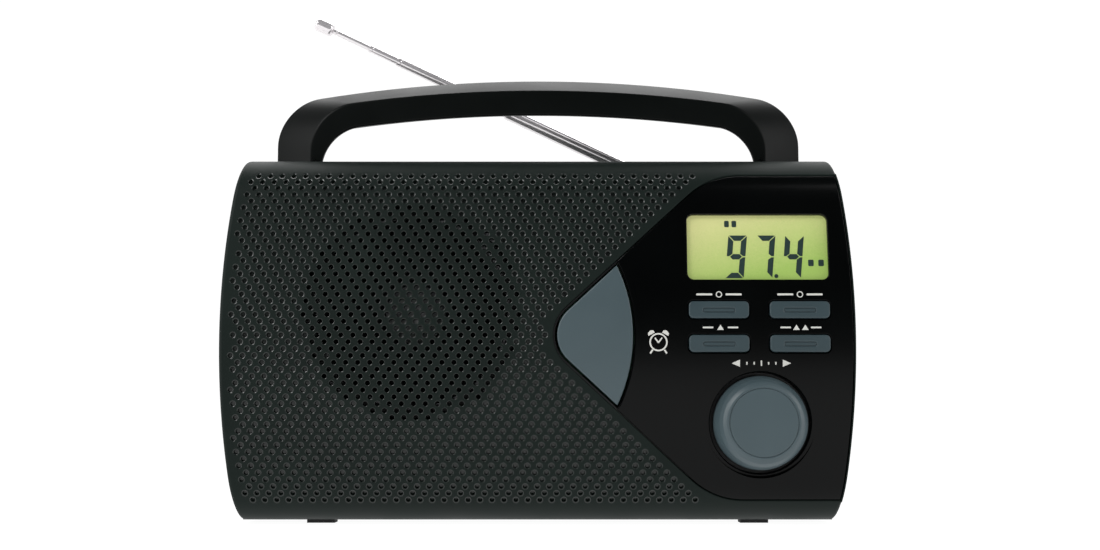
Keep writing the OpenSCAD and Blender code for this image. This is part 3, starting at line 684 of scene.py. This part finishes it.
def add_dimple(shape, rim, place):
    """A closed cone-shaped pit, or an open hole in front of the speaker."""
    if is_open(place):
        steps = [(0.96, 0.08), (HOLE_R, 0.3), (HOLE_R, WALL)]
    else:
        steps = [(1.1, 0.06), (0.9, 0.18), (0.8, 0.55), (0.66, 1.2)]
    row = shape.add(on_front(rim, 0)[0])
    for r, depth in steps:
        lower = shape.add(on_front(circle(*place, r, len(rim)), depth)[0])
        shape.bridge(row, lower)
        row = lower
    if not is_open(place):
        shape.face(row)


def skin_levels(end):
    """Arc lengths along the sides, with a step where the panel's corner meets the side."""
    corner = arc_length(PANEL_HALF_H + OPENING_MARGIN)
    even = [-end, *[end * (i / 36 - 1) for i in range(1, 72)], end]
    clear = {round(s, 4) for s in even if abs(abs(s) - corner) > 0.8}
    return sorted(clear | {corner, -corner, corner - 0.02, 0.02 - corner})


def grille_rim(place):
    """The outline of one dimple or open hole."""
    if is_open(place):
        return circle(*place, CHAMFER_R, 14)
    return circle(*place, DIMPLE_R, 12)


def skin_supports(end, opening_in, places):
    """Points that carry the front's curve where there is no grille."""
    extra = []
    grille_end = arc_length(ROWS * ROW_PITCH) + 2
    for s in [end * i / 33 for i in range(-32, 33)]:
        for x in [i * 3.1 - 108 for i in range(71)]:
            clear = min(math.dist((x, s), p) for p in opening_in) > 1.5
            free = abs(s) > grille_end or min(math.dist((x, s), p) for p in places) > 3.4
            if clear and free and abs(x) < side_x(height(s)) - 3:
                extra.append((x, s))
    return extra


def add_skin(shape, pits):
    """The front face with its grille, the rounded side edges, and the side walls back to the seam."""
    end = CROWN_ARC + ROLL_ARC + SPLIT_Y - SEAM - EDGE_Y
    levels = skin_levels(end)
    right = [(fillet_centre(s, 1)[0], s) for s in levels]
    left = [(-fillet_centre(s, -1)[0], s) for s in reversed(levels)]
    top = straight(right[-1], left[0], 4)[1:]
    bottom = straight(left[-1], right[0], 4)[1:]
    outer = right + top + left + bottom
    opening = subdivided(panel_outline(0, 0.55), 4)
    opening_in = [(x, arc_length(z)) for x, z in offset(opening, -OPENING_LIP)]
    opening_in = [(min(x, side_x(height(s)) - 0.45), s) for x, s in opening_in]
    places = grille_places(opening)
    rims = [grille_rim(place) for place in places]
    holes = [[(x, arc_length(z)) for x, z in rim] for rim in rims]
    extra = skin_supports(end, opening_in, places)
    triangles = triangles_between([outer, opening_in], holes, extra)
    flat = outer + opening_in + [p for hole in holes for p in hole] + extra
    pairs = [front(x, s) for x, s in flat]
    skin = shape.add([p for p, _ in pairs], [n for _, n in pairs])
    for a, b, c in triangles:
        shape.face([skin[a], skin[b], skin[c]], True)
    for rim, place in zip(rims, places):
        add_dimple(pits, rim, place)
    add_opening_edge(shape, skin[len(outer) : len(outer) + len(opening_in)], opening)
    right_row = skin[: len(levels)]
    left_row = skin[len(levels) + len(top) : 2 * len(levels) + len(top)][::-1]
    right_back = add_side(shape, right_row, levels, 1)
    left_back = add_side(shape, left_row, levels, -1)
    top_row = skin[len(levels) : len(levels) + len(top)]
    bottom_row = skin[2 * len(levels) + len(top) : len(outer)]
    add_seam(shape, right_back + top_row + left_back[::-1] + bottom_row)


def add_opening_edge(shape, row, opening):
    """The rounded edge and the wall of the panel's opening."""
    for i in range(1, BEVEL_STEPS + 1):
        angle = math.pi / 2 * i / BEVEL_STEPS
        moved = offset(opening, -OPENING_LIP * (1 - math.sin(angle)))
        lower = shape.add(on_front(moved, OPENING_LIP * (1 - math.cos(angle)))[0])
        shape.bridge(row, lower)
        row = lower
    lower = shape.add(on_front(opening, 3)[0])
    shape.bridge(row, lower)


def add_side(shape, row, levels, side):
    """One rounded edge and the flat side behind it. Returns the vertices along the seam."""
    rows = [row]
    steps = 6
    centres = [fillet_centre(s, side) for s in levels]
    for k in range(1, steps + 1):
        angle = math.pi / 2 * k / steps
        points = []
        normals = []
        for s, (x, z) in zip(levels, centres):
            r = edge_fillet(s, side)
            out = front(0, s)[1]
            b = math.asin(z / SIDE_R)
            flank = Vector((math.cos(b), 0, math.sin(b)))
            normal = (out * math.cos(angle) + flank * math.sin(angle)).normalized()
            base = front(x, s, r)[0]
            point = base + normal * r * MM
            points.append(Vector((point.x * side, point.y, point.z)))
            normals.append(Vector((normal.x * side, normal.y, normal.z)))
        rows.append(shape.add(points, normals))
    for a, b in zip(rows, rows[1:]):
        shape.bridge(*((a, b) if side < 0 else (b, a)), closed=False, exact=True)
    edge = rows[-1]
    behind = [Vector((shape.points[i].x, at(0, SPLIT_Y - SEAM, 0).y, shape.points[i].z)) for i in edge[1:-1]]
    back = [edge[0], *shape.add(behind, [shape.normals[i] for i in edge[1:-1]]), edge[-1]]
    shape.bridge(*((edge, back) if side < 0 else (back, edge)), closed=False, exact=True)
    lower_end = [r[0] for r in rows]
    upper_end = [r[-1] for r in rows]
    return lower_end + back[1:-1] + upper_end[::-1]


def add_seam(shape, loop):
    """The small chamfer at the back edge, which leaves a groove where the shells meet."""
    middle = at(0, 0, 0)
    row = loop
    for y, inset in ((SPLIT_Y, SEAM), (SPLIT_Y, WALL), (SPLIT_Y - 8, WALL)):
        points = []
        for i in loop:
            p = shape.points[i]
            x = (p.x - middle.x) / MM
            z = (p.z - middle.z) / MM
            points.append(at(x * (1 - inset / HALF_W), y, z * (1 - inset / HALF_H)))
        lower = shape.add(points)
        shape.bridge(lower, row)
        row = lower


def make_front_shell():
    shape = Shape()
    pits = Shape()
    add_skin(shape, pits)
    shape.make("shell_front", "shell", "case", ["front_shell"])
    pits.make("grille_pits", "pit", "case")
    bed = Shape()
    holes = [lcd_outline(0.3), snooze_outline(0.8), circle(KNOB_X, KNOB_Z, WELL_R)]
    holes += [button_outline(name, 0.35) for name in BUTTONS]
    add_plate(bed, [panel_outline(0.8, 1.2), *holes], 2.3, 1.6, 0.1, 6)
    bed.make("panel_bed", "black", "case")
    cup = Shape()
    back_y = WELL_FLOOR_Y + 2
    rim_r = WELL_R + 1.5
    profile = [
        (rim_r, 2.4), (rim_r, back_y), (5, back_y),
        (5, WELL_FLOOR_Y), (WELL_R, WELL_FLOOR_Y), (WELL_R, 2.4),
    ]
    add_lathe(cup, soften(profile, 0.2), along_depth(KNOB_X, KNOB_Z))
    cup.make("knob_cup", "black", "case")


# ======================= Panel, display and buttons =======================


def make_panel():
    shape = Shape()
    holes = [lcd_outline(0.1), circle(KNOB_X, KNOB_Z, WELL_R)]
    holes += [button_outline(name, 0.3) for name in BUTTONS]
    add_plate(shape, [gloss_outline(-0.4), *holes], 0.1, 2, 0.35, 4)
    shape.make("panel_front", "gloss", "case", ["control_panel"])


def make_snooze():
    shape = Shape()
    add_plate(shape, [snooze_outline(0)], -0.6, 2.2, 0.55, 3)
    shape.make("snooze_key", "grey", "snooze", ["snooze_button"])


def make_buttons():
    """Each key has a thin engraved bar on its face."""
    for name, (x, z) in BUTTONS.items():
        shape = Shape()
        groove = rounded_rect(x, z - 0.2, 11.4, 1.5, 0.5, 4)
        island = rounded_rect(x, z - 0.2, 10.8, 0.9, 0.3, 4)
        add_plate(shape, [button_outline(name, 0), groove], -0.7, 5, 0.45, 2.5)
        add_plate(shape, [island], -0.66, 1, 0.08, 2.5)
        add_plate(shape, [offset(groove, -0.1)], -0.35, 1, 0.02, 2.5)
        shape.make(name + "_key", "key", name, [name + "_button"], 28)


def glyph_segments(h, w, t):
    """The seven strokes of a digit, as outlines in a box of height h and width w, with stroke t."""

    def flip_x(points):
        return [(w - x, z) for x, z in points]

    def flip_z(points):
        return [(x, h - z) for x, z in points]

    mid = h / 2
    gap = 0.22
    top = [(gap, h), (w - gap, h), (w - gap - t, h - t), (gap + t, h - t)]
    upper_left = [
        (0, h - gap), (0, mid + gap), (t * 0.45, mid + gap),
        (t, mid + t * 0.55), (t, h - gap - t),
    ]
    middle = [
        (gap + t * 0.5, mid), (gap + t, mid + t / 2), (w - gap - t, mid + t / 2),
        (w - gap - t * 0.5, mid), (w - gap - t, mid - t / 2), (gap + t, mid - t / 2),
    ]
    return {
        "a": top,
        "b": flip_x(upper_left),
        "c": flip_x(flip_z(upper_left)),
        "d": flip_z(top),
        "e": flip_z(upper_left),
        "f": upper_left,
        "g": middle,
    }


PRINT_DEPTH = 0.03
PRINT_THICK = 0.08


def area(loop):
    return sum(loop[i - 1][0] * p[1] - p[0] * loop[i - 1][1] for i, p in enumerate(loop)) / 2


def add_mark(shape, loop, depth, thick=0.06):
    """A flat printed mark on the front's surface."""
    loop = loop if area(loop) > 0 else loop[::-1]
    add_plate(shape, [loop], depth, thick, 0.01, 50)


def make_display():
    face_depth = 1.9
    film = Shape()
    add_plate(film, [lcd_outline(0.25)], face_depth, 0.6, 0.05, 6)
    film.make("display_film", "display", "case", ["lcd_module"])
    window = Shape()
    add_plate(window, [lcd_outline(0)], 0.25, 1, 0.25, 5)
    window.make("display_window", "window", "case", ["lcd_window"])
    marks = Shape()
    slant = 0.1
    digits = [(68.2, "abcdfg"), (78.6, "abc"), (89.0, "bcfg")]
    strokes = glyph_segments(15.9, 6.8, 2.0)
    for x, used in digits:
        for name in used:
            loop = [(x + u + v * slant, 20.95 + v) for u, v in strokes[name]]
            add_mark(marks, loop, face_depth - 0.06)
    add_mark(marks, circle(86.9, 21.7, 0.75, 16), face_depth - 0.06)
    unit_blocks = [(69.2, 41.2, 1.7), (71.9, 41.2, 1.7), (99.6, 26.6, 2), (103.3, 26.6, 2)]
    for x, z, w in unit_blocks:
        add_mark(marks, rounded_rect(x, z, w, 2.4, 0.4, 3), face_depth - 0.06)
    marks.make("display_segments", "segment", "case")


def ring_mark(shape, x, z, r, stroke):
    outer = circle(x, z, r, 32)
    inner = circle(x, z, r - stroke, 32)
    add_plate(shape, [outer, inner], 0.03, 0.08, 0.01, 50)


def bar_mark(shape, x0, x1, z, h):
    bar = rounded_rect((x0 + x1) / 2, z, x1 - x0, h, min(h, x1 - x0) * 0.3, 3)
    add_mark(shape, bar, PRINT_DEPTH, PRINT_THICK)


def slanted_bar(shape, a, b, w):
    """A straight stroke between two points."""
    dx, dz = b[0] - a[0], b[1] - a[1]
    length = math.hypot(dx, dz)
    nx, nz = -dz / length * w / 2, dx / length * w / 2
    loop = [(a[0] + nx, a[1] + nz), (a[0] - nx, a[1] - nz), (b[0] - nx, b[1] - nz), (b[0] + nx, b[1] + nz)]
    add_mark(shape, loop, PRINT_DEPTH, PRINT_THICK)


def make_marks():
    """Plain symbols over the keys and the knob, and the alarm clock beside the snooze key."""
    shape = Shape()
    for x, z in ((65.7, 14.7), (95, 14.7)):
        ring_mark(shape, x, z, 1.15, 0.35)
        bar_mark(shape, x - 8.2, x - 2.4, z, 0.7)
        bar_mark(shape, x + 2.4, x + 8.2, z, 0.7)
    for x, count in ((66.1, 1), (95.1, 2)):
        for i in range(count):
            cx = x + (i - (count - 1) / 2) * 3.2
            add_mark(shape, [(cx - 1.2, 1.8), (cx + 1.2, 1.8), (cx, 3.7)], PRINT_DEPTH, PRINT_THICK)
        bar_mark(shape, x - 5.4 - count, x - 1.6 - count, 2.7, 0.6)
        bar_mark(shape, x + 1.6 + count, x + 5.4 + count, 2.7, 0.6)
    add_mark(shape, [(70, -10.2), (73, -8.9), (73, -11.5)], PRINT_DEPTH, PRINT_THICK)
    add_mark(shape, [(91.4, -10.2), (88.4, -8.9), (88.4, -11.5)], PRINT_DEPTH, PRINT_THICK)
    for i in range(5):
        half = 0.5 if i != 2 else 1
        bar_mark(shape, 80.7 + (i - 2) * 2.6 - 0.25, 80.7 + (i - 2) * 2.6 + 0.25, -10.2, half * 2)
    cx, cz = 43.7, -2.6
    ring_mark(shape, cx, cz, 3.3, 0.55)
    slanted_bar(shape, (cx, cz - 0.2), (cx - 1.3, cz + 1.6), 0.5)
    slanted_bar(shape, (cx, cz - 0.2), (cx + 1.3, cz + 1.6), 0.5)
    for side in (-1, 1):
        bell = [(1.3, 3.5), (1.9, 4.3), (3.0, 4.2), (3.8, 3.2), (3.6, 2.2)]
        add_mark(shape, [(cx + side * u, cz + v) for u, v in bell], PRINT_DEPTH, PRINT_THICK)
        slanted_bar(shape, (cx + side * 2.1, cz - 2.7), (cx + side * 3, cz - 4.1), 0.6)
    shape.make("printed_marks", "print", "case")


def make_knob():
    shape = Shape()
    profile = [
        (0, -8.75), (12.05, -8.8), (12.1, -8.5), (12.35, -8.5), (12.4, -8.85), (13.1, -8.75), (14.5, -7.7),
        (15.7, -5.6), (16.5, -2.2), (16.9, 2.2), (16.9, 5.9), (3.1, 5.9), (3.1, -3), (0, -3),
    ]
    add_lathe(shape, soften(profile, 0.4), along_depth(KNOB_X, KNOB_Z), 96)
    shape.make("knob_cap", "grey", "tuning", ["tuning_knob"])


# ======================= Handle =======================

HANDLE_ARCH_R = 520


def drop(x):
    """How far the arched grip has fallen at a distance from its middle."""
    return x * x / (2 * HANDLE_ARCH_R)


def handle_outline(half, top, corner):
    """From the right foot over the arched grip to the left foot."""
    grip = half - corner
    leg = top - corner - drop(half) - HALF_H
    right = [(half, HALF_H + leg * i / 6) for i in range(6)]
    for i in range(19):
        a = math.pi / 2 * i / 18
        x = grip + corner * math.cos(a)
        right.append((x, top - corner * (1 - math.sin(a)) - drop(x)))
    right += [(grip * (1 - i / 12), top - drop(grip * (1 - i / 12))) for i in range(1, 12)]
    return right + [(0, top)] + [(-x, z) for x, z in reversed(right)]


def make_handle():
    """The section's points hold the outline's half width, top, corner radius and depth."""
    section = [
        (82.4, 85.6, 14, 25), (86.6, 95, 16, 25), (101, 101, 16, 35), (101, 101, 16, 39),
        (93, 97, 16, 49), (87.5, 90, 15, 49), (87.5, 90, 15, 27.6), (82.4, 85.6, 14, 27.6),
    ]
    shape = Shape()
    rows = []
    for half, top, corner, y in soften(section, 0.9, closed=True, count=5):
        rows.append(shape.add([at(x, y, z) for x, z in handle_outline(half, top, corner)]))
    for a, b in zip(rows, rows[1:] + rows[:1]):
        shape.bridge(b, a, closed=False)
    shape.face([row[0] for row in rows])
    shape.face([row[-1] for row in rows][::-1])
    shape.make("handle_grip", "handle", "case", ["handle"], 40)


# ======================= Antenna =======================

PIVOT = (77.5, 62.5, 51)
RISE = math.radians(25.5)
# Node, body, outer radius, bore radius, mouth and foot as distances from the pivot.
STAGES = [
    ("antenna_section_2", "antenna_2", 2.25, 1.95, 123.6, 35.6),
    ("antenna_section_3", "antenna_3", 1.9, 1.55, 149.6, 63.6),
    ("antenna_section_4", "antenna_4", 1.5, 1.15, 162.4, 78.4),
    ("antenna_section_5", "antenna_5", 1.1, 0, 178.8, 96.8),
]


def along_antenna(r, a, h):
    """A point at a radius and angle round the antenna, h from its pivot."""
    x = PIVOT[0] - h * math.cos(RISE) + r * math.cos(a) * math.sin(RISE)
    z = PIVOT[2] + h * math.sin(RISE) + r * math.cos(a) * math.cos(RISE)
    return at(x, PIVOT[1] + r * math.sin(a), z)


def make_antenna():
    """The drawn sections, each with a crimped groove near its mouth, the tip and the tube's collar."""
    for node, body, r, bore, mouth, foot in STAGES:
        groove = [(r, mouth - 2.2), (r - 0.12, mouth - 2.05), (r - 0.12, mouth - 1.75), (r, mouth - 1.6)]
        profile = [(0, foot), (r, foot), *groove, (r, mouth - 0.25), (r - 0.2, mouth)]
        if bore:
            profile += [(bore, mouth), (bore, foot + 1), (0, foot + 1)]
        else:
            profile += [(0, mouth)]
        shape = Shape()
        add_lathe(shape, profile, along_antenna, 32)
        shape.make(node + "_tube", "chrome", body, [node], 25)
    tip = Shape()
    profile = [(0, 178.95), (2, 178.95), (2.7, 179.7), (2.7, 185.7), (2.1, 186.5), (0, 186.8)]
    add_lathe(tip, soften(profile, 0.6), along_antenna, 40)
    tip.make("antenna_cap", "chrome", "antenna_5", ["antenna_tip"], 50)
    collar = Shape()
    profile = [(2.32, 99.98), (2.5, 99.98), (2.72, 99.6), (2.72, 98.2), (2.66, 98)]
    add_lathe(collar, soften(profile, 0.1), along_antenna, 40)
    collar.make("antenna_collar", "chrome", "antenna_1")


# ======================= Studio =======================


def make_stage():
    """A pale floor that curves up behind the object."""
    bend = 0.6
    depth = 1.6
    profile = [(-4.0, 0), (depth, 0)]
    for i in range(1, 13):
        a = math.pi / 2 * i / 12
        profile.append((depth + bend * math.sin(a), bend * (1 - math.cos(a))))
    profile.append((depth + bend, 4.5))
    points = [(side * 9, y, z) for y, z in profile for side in (-1, 1)]
    faces = [(2 * i, 2 * i + 1, 2 * i + 3, 2 * i + 2) for i in range(len(profile) - 1)]
    mesh = bpy.data.meshes.new("studio_floor")
    mesh.from_pydata(points, [], faces)
    mesh.shade_smooth()
    floor = bpy.data.objects.new("studio_floor", mesh)
    bpy.context.scene.collection.objects.link(floor)
    material, shader = new_look("paper", (0.1, 0.1, 0.1, 1), 0.9)
    shader.inputs["Specular IOR Level"].default_value = 0.1
    shader.inputs["Emission Color"].default_value = (1, 1, 1, 1)
    shader.inputs["Emission Strength"].default_value = 0.96
    mesh.materials.append(material)


def area_light(name, place, target, size, power):
    light = bpy.data.lights.new(name, "AREA")
    light.shape = "RECTANGLE"
    light.size = size[0]
    light.size_y = size[1]
    light.energy = power
    lamp = bpy.data.objects.new(name, light)
    lamp.location = place
    lamp.rotation_euler = (Vector(target) - Vector(place)).to_track_quat("-Z", "Y").to_euler()
    bpy.context.scene.collection.objects.link(lamp)


def make_lights():
    area_light("overhead_softbox", (0, 0.85, 1.35), (0, 0, 0.1), (1.8, 1.0), 13)
    area_light("left_key", (-1.0, -1.0, 1.15), (0, 0, 0.07), (0.6, 0.6), 13)
    area_light("right_fill", (0.95, -1.1, 1.35), (0, 0, 0.1), (0.8, 1.2), 5)
    area_light("left_strip", (-1.3, -0.4, 0.5), (0, 0, 0.07), (0.3, 1.0), 6)
    area_light("right_strip", (1.3, -0.4, 0.5), (0, 0, 0.07), (0.3, 1.0), 6)
    area_light("backdrop_light", (0, 0.9, 2.2), (0, 2.2, 0.4), (3.5, 0.6), 20)
    world = bpy.data.worlds.new("studio")
    world.use_nodes = True
    world.node_tree.nodes["Background"].inputs["Color"].default_value = (0.9, 0.95, 1, 1)
    world.node_tree.nodes["Background"].inputs["Strength"].default_value = 0.08
    bpy.context.scene.world = world
    bpy.context.scene.view_settings.view_transform = "Standard"


def make_camera():
    camera = bpy.data.cameras.new("camera")
    camera.sensor_width = 36
    camera.lens = 50.9
    viewer = bpy.data.objects.new("camera", camera)
    viewer.location = at(4.6, -560, -34.2)
    viewer.rotation_euler = (math.radians(90 + 5.7), 0, 0)
    bpy.context.scene.collection.objects.link(viewer)
    bpy.context.scene.camera = viewer


make_camera()
make_looks()
paint_cad_nodes()
soften_cad_edges()
make_front_shell()
make_panel()
make_snooze()
make_buttons()
make_display()
make_marks()
make_knob()
make_handle()
make_antenna()
make_stage()
make_lights()
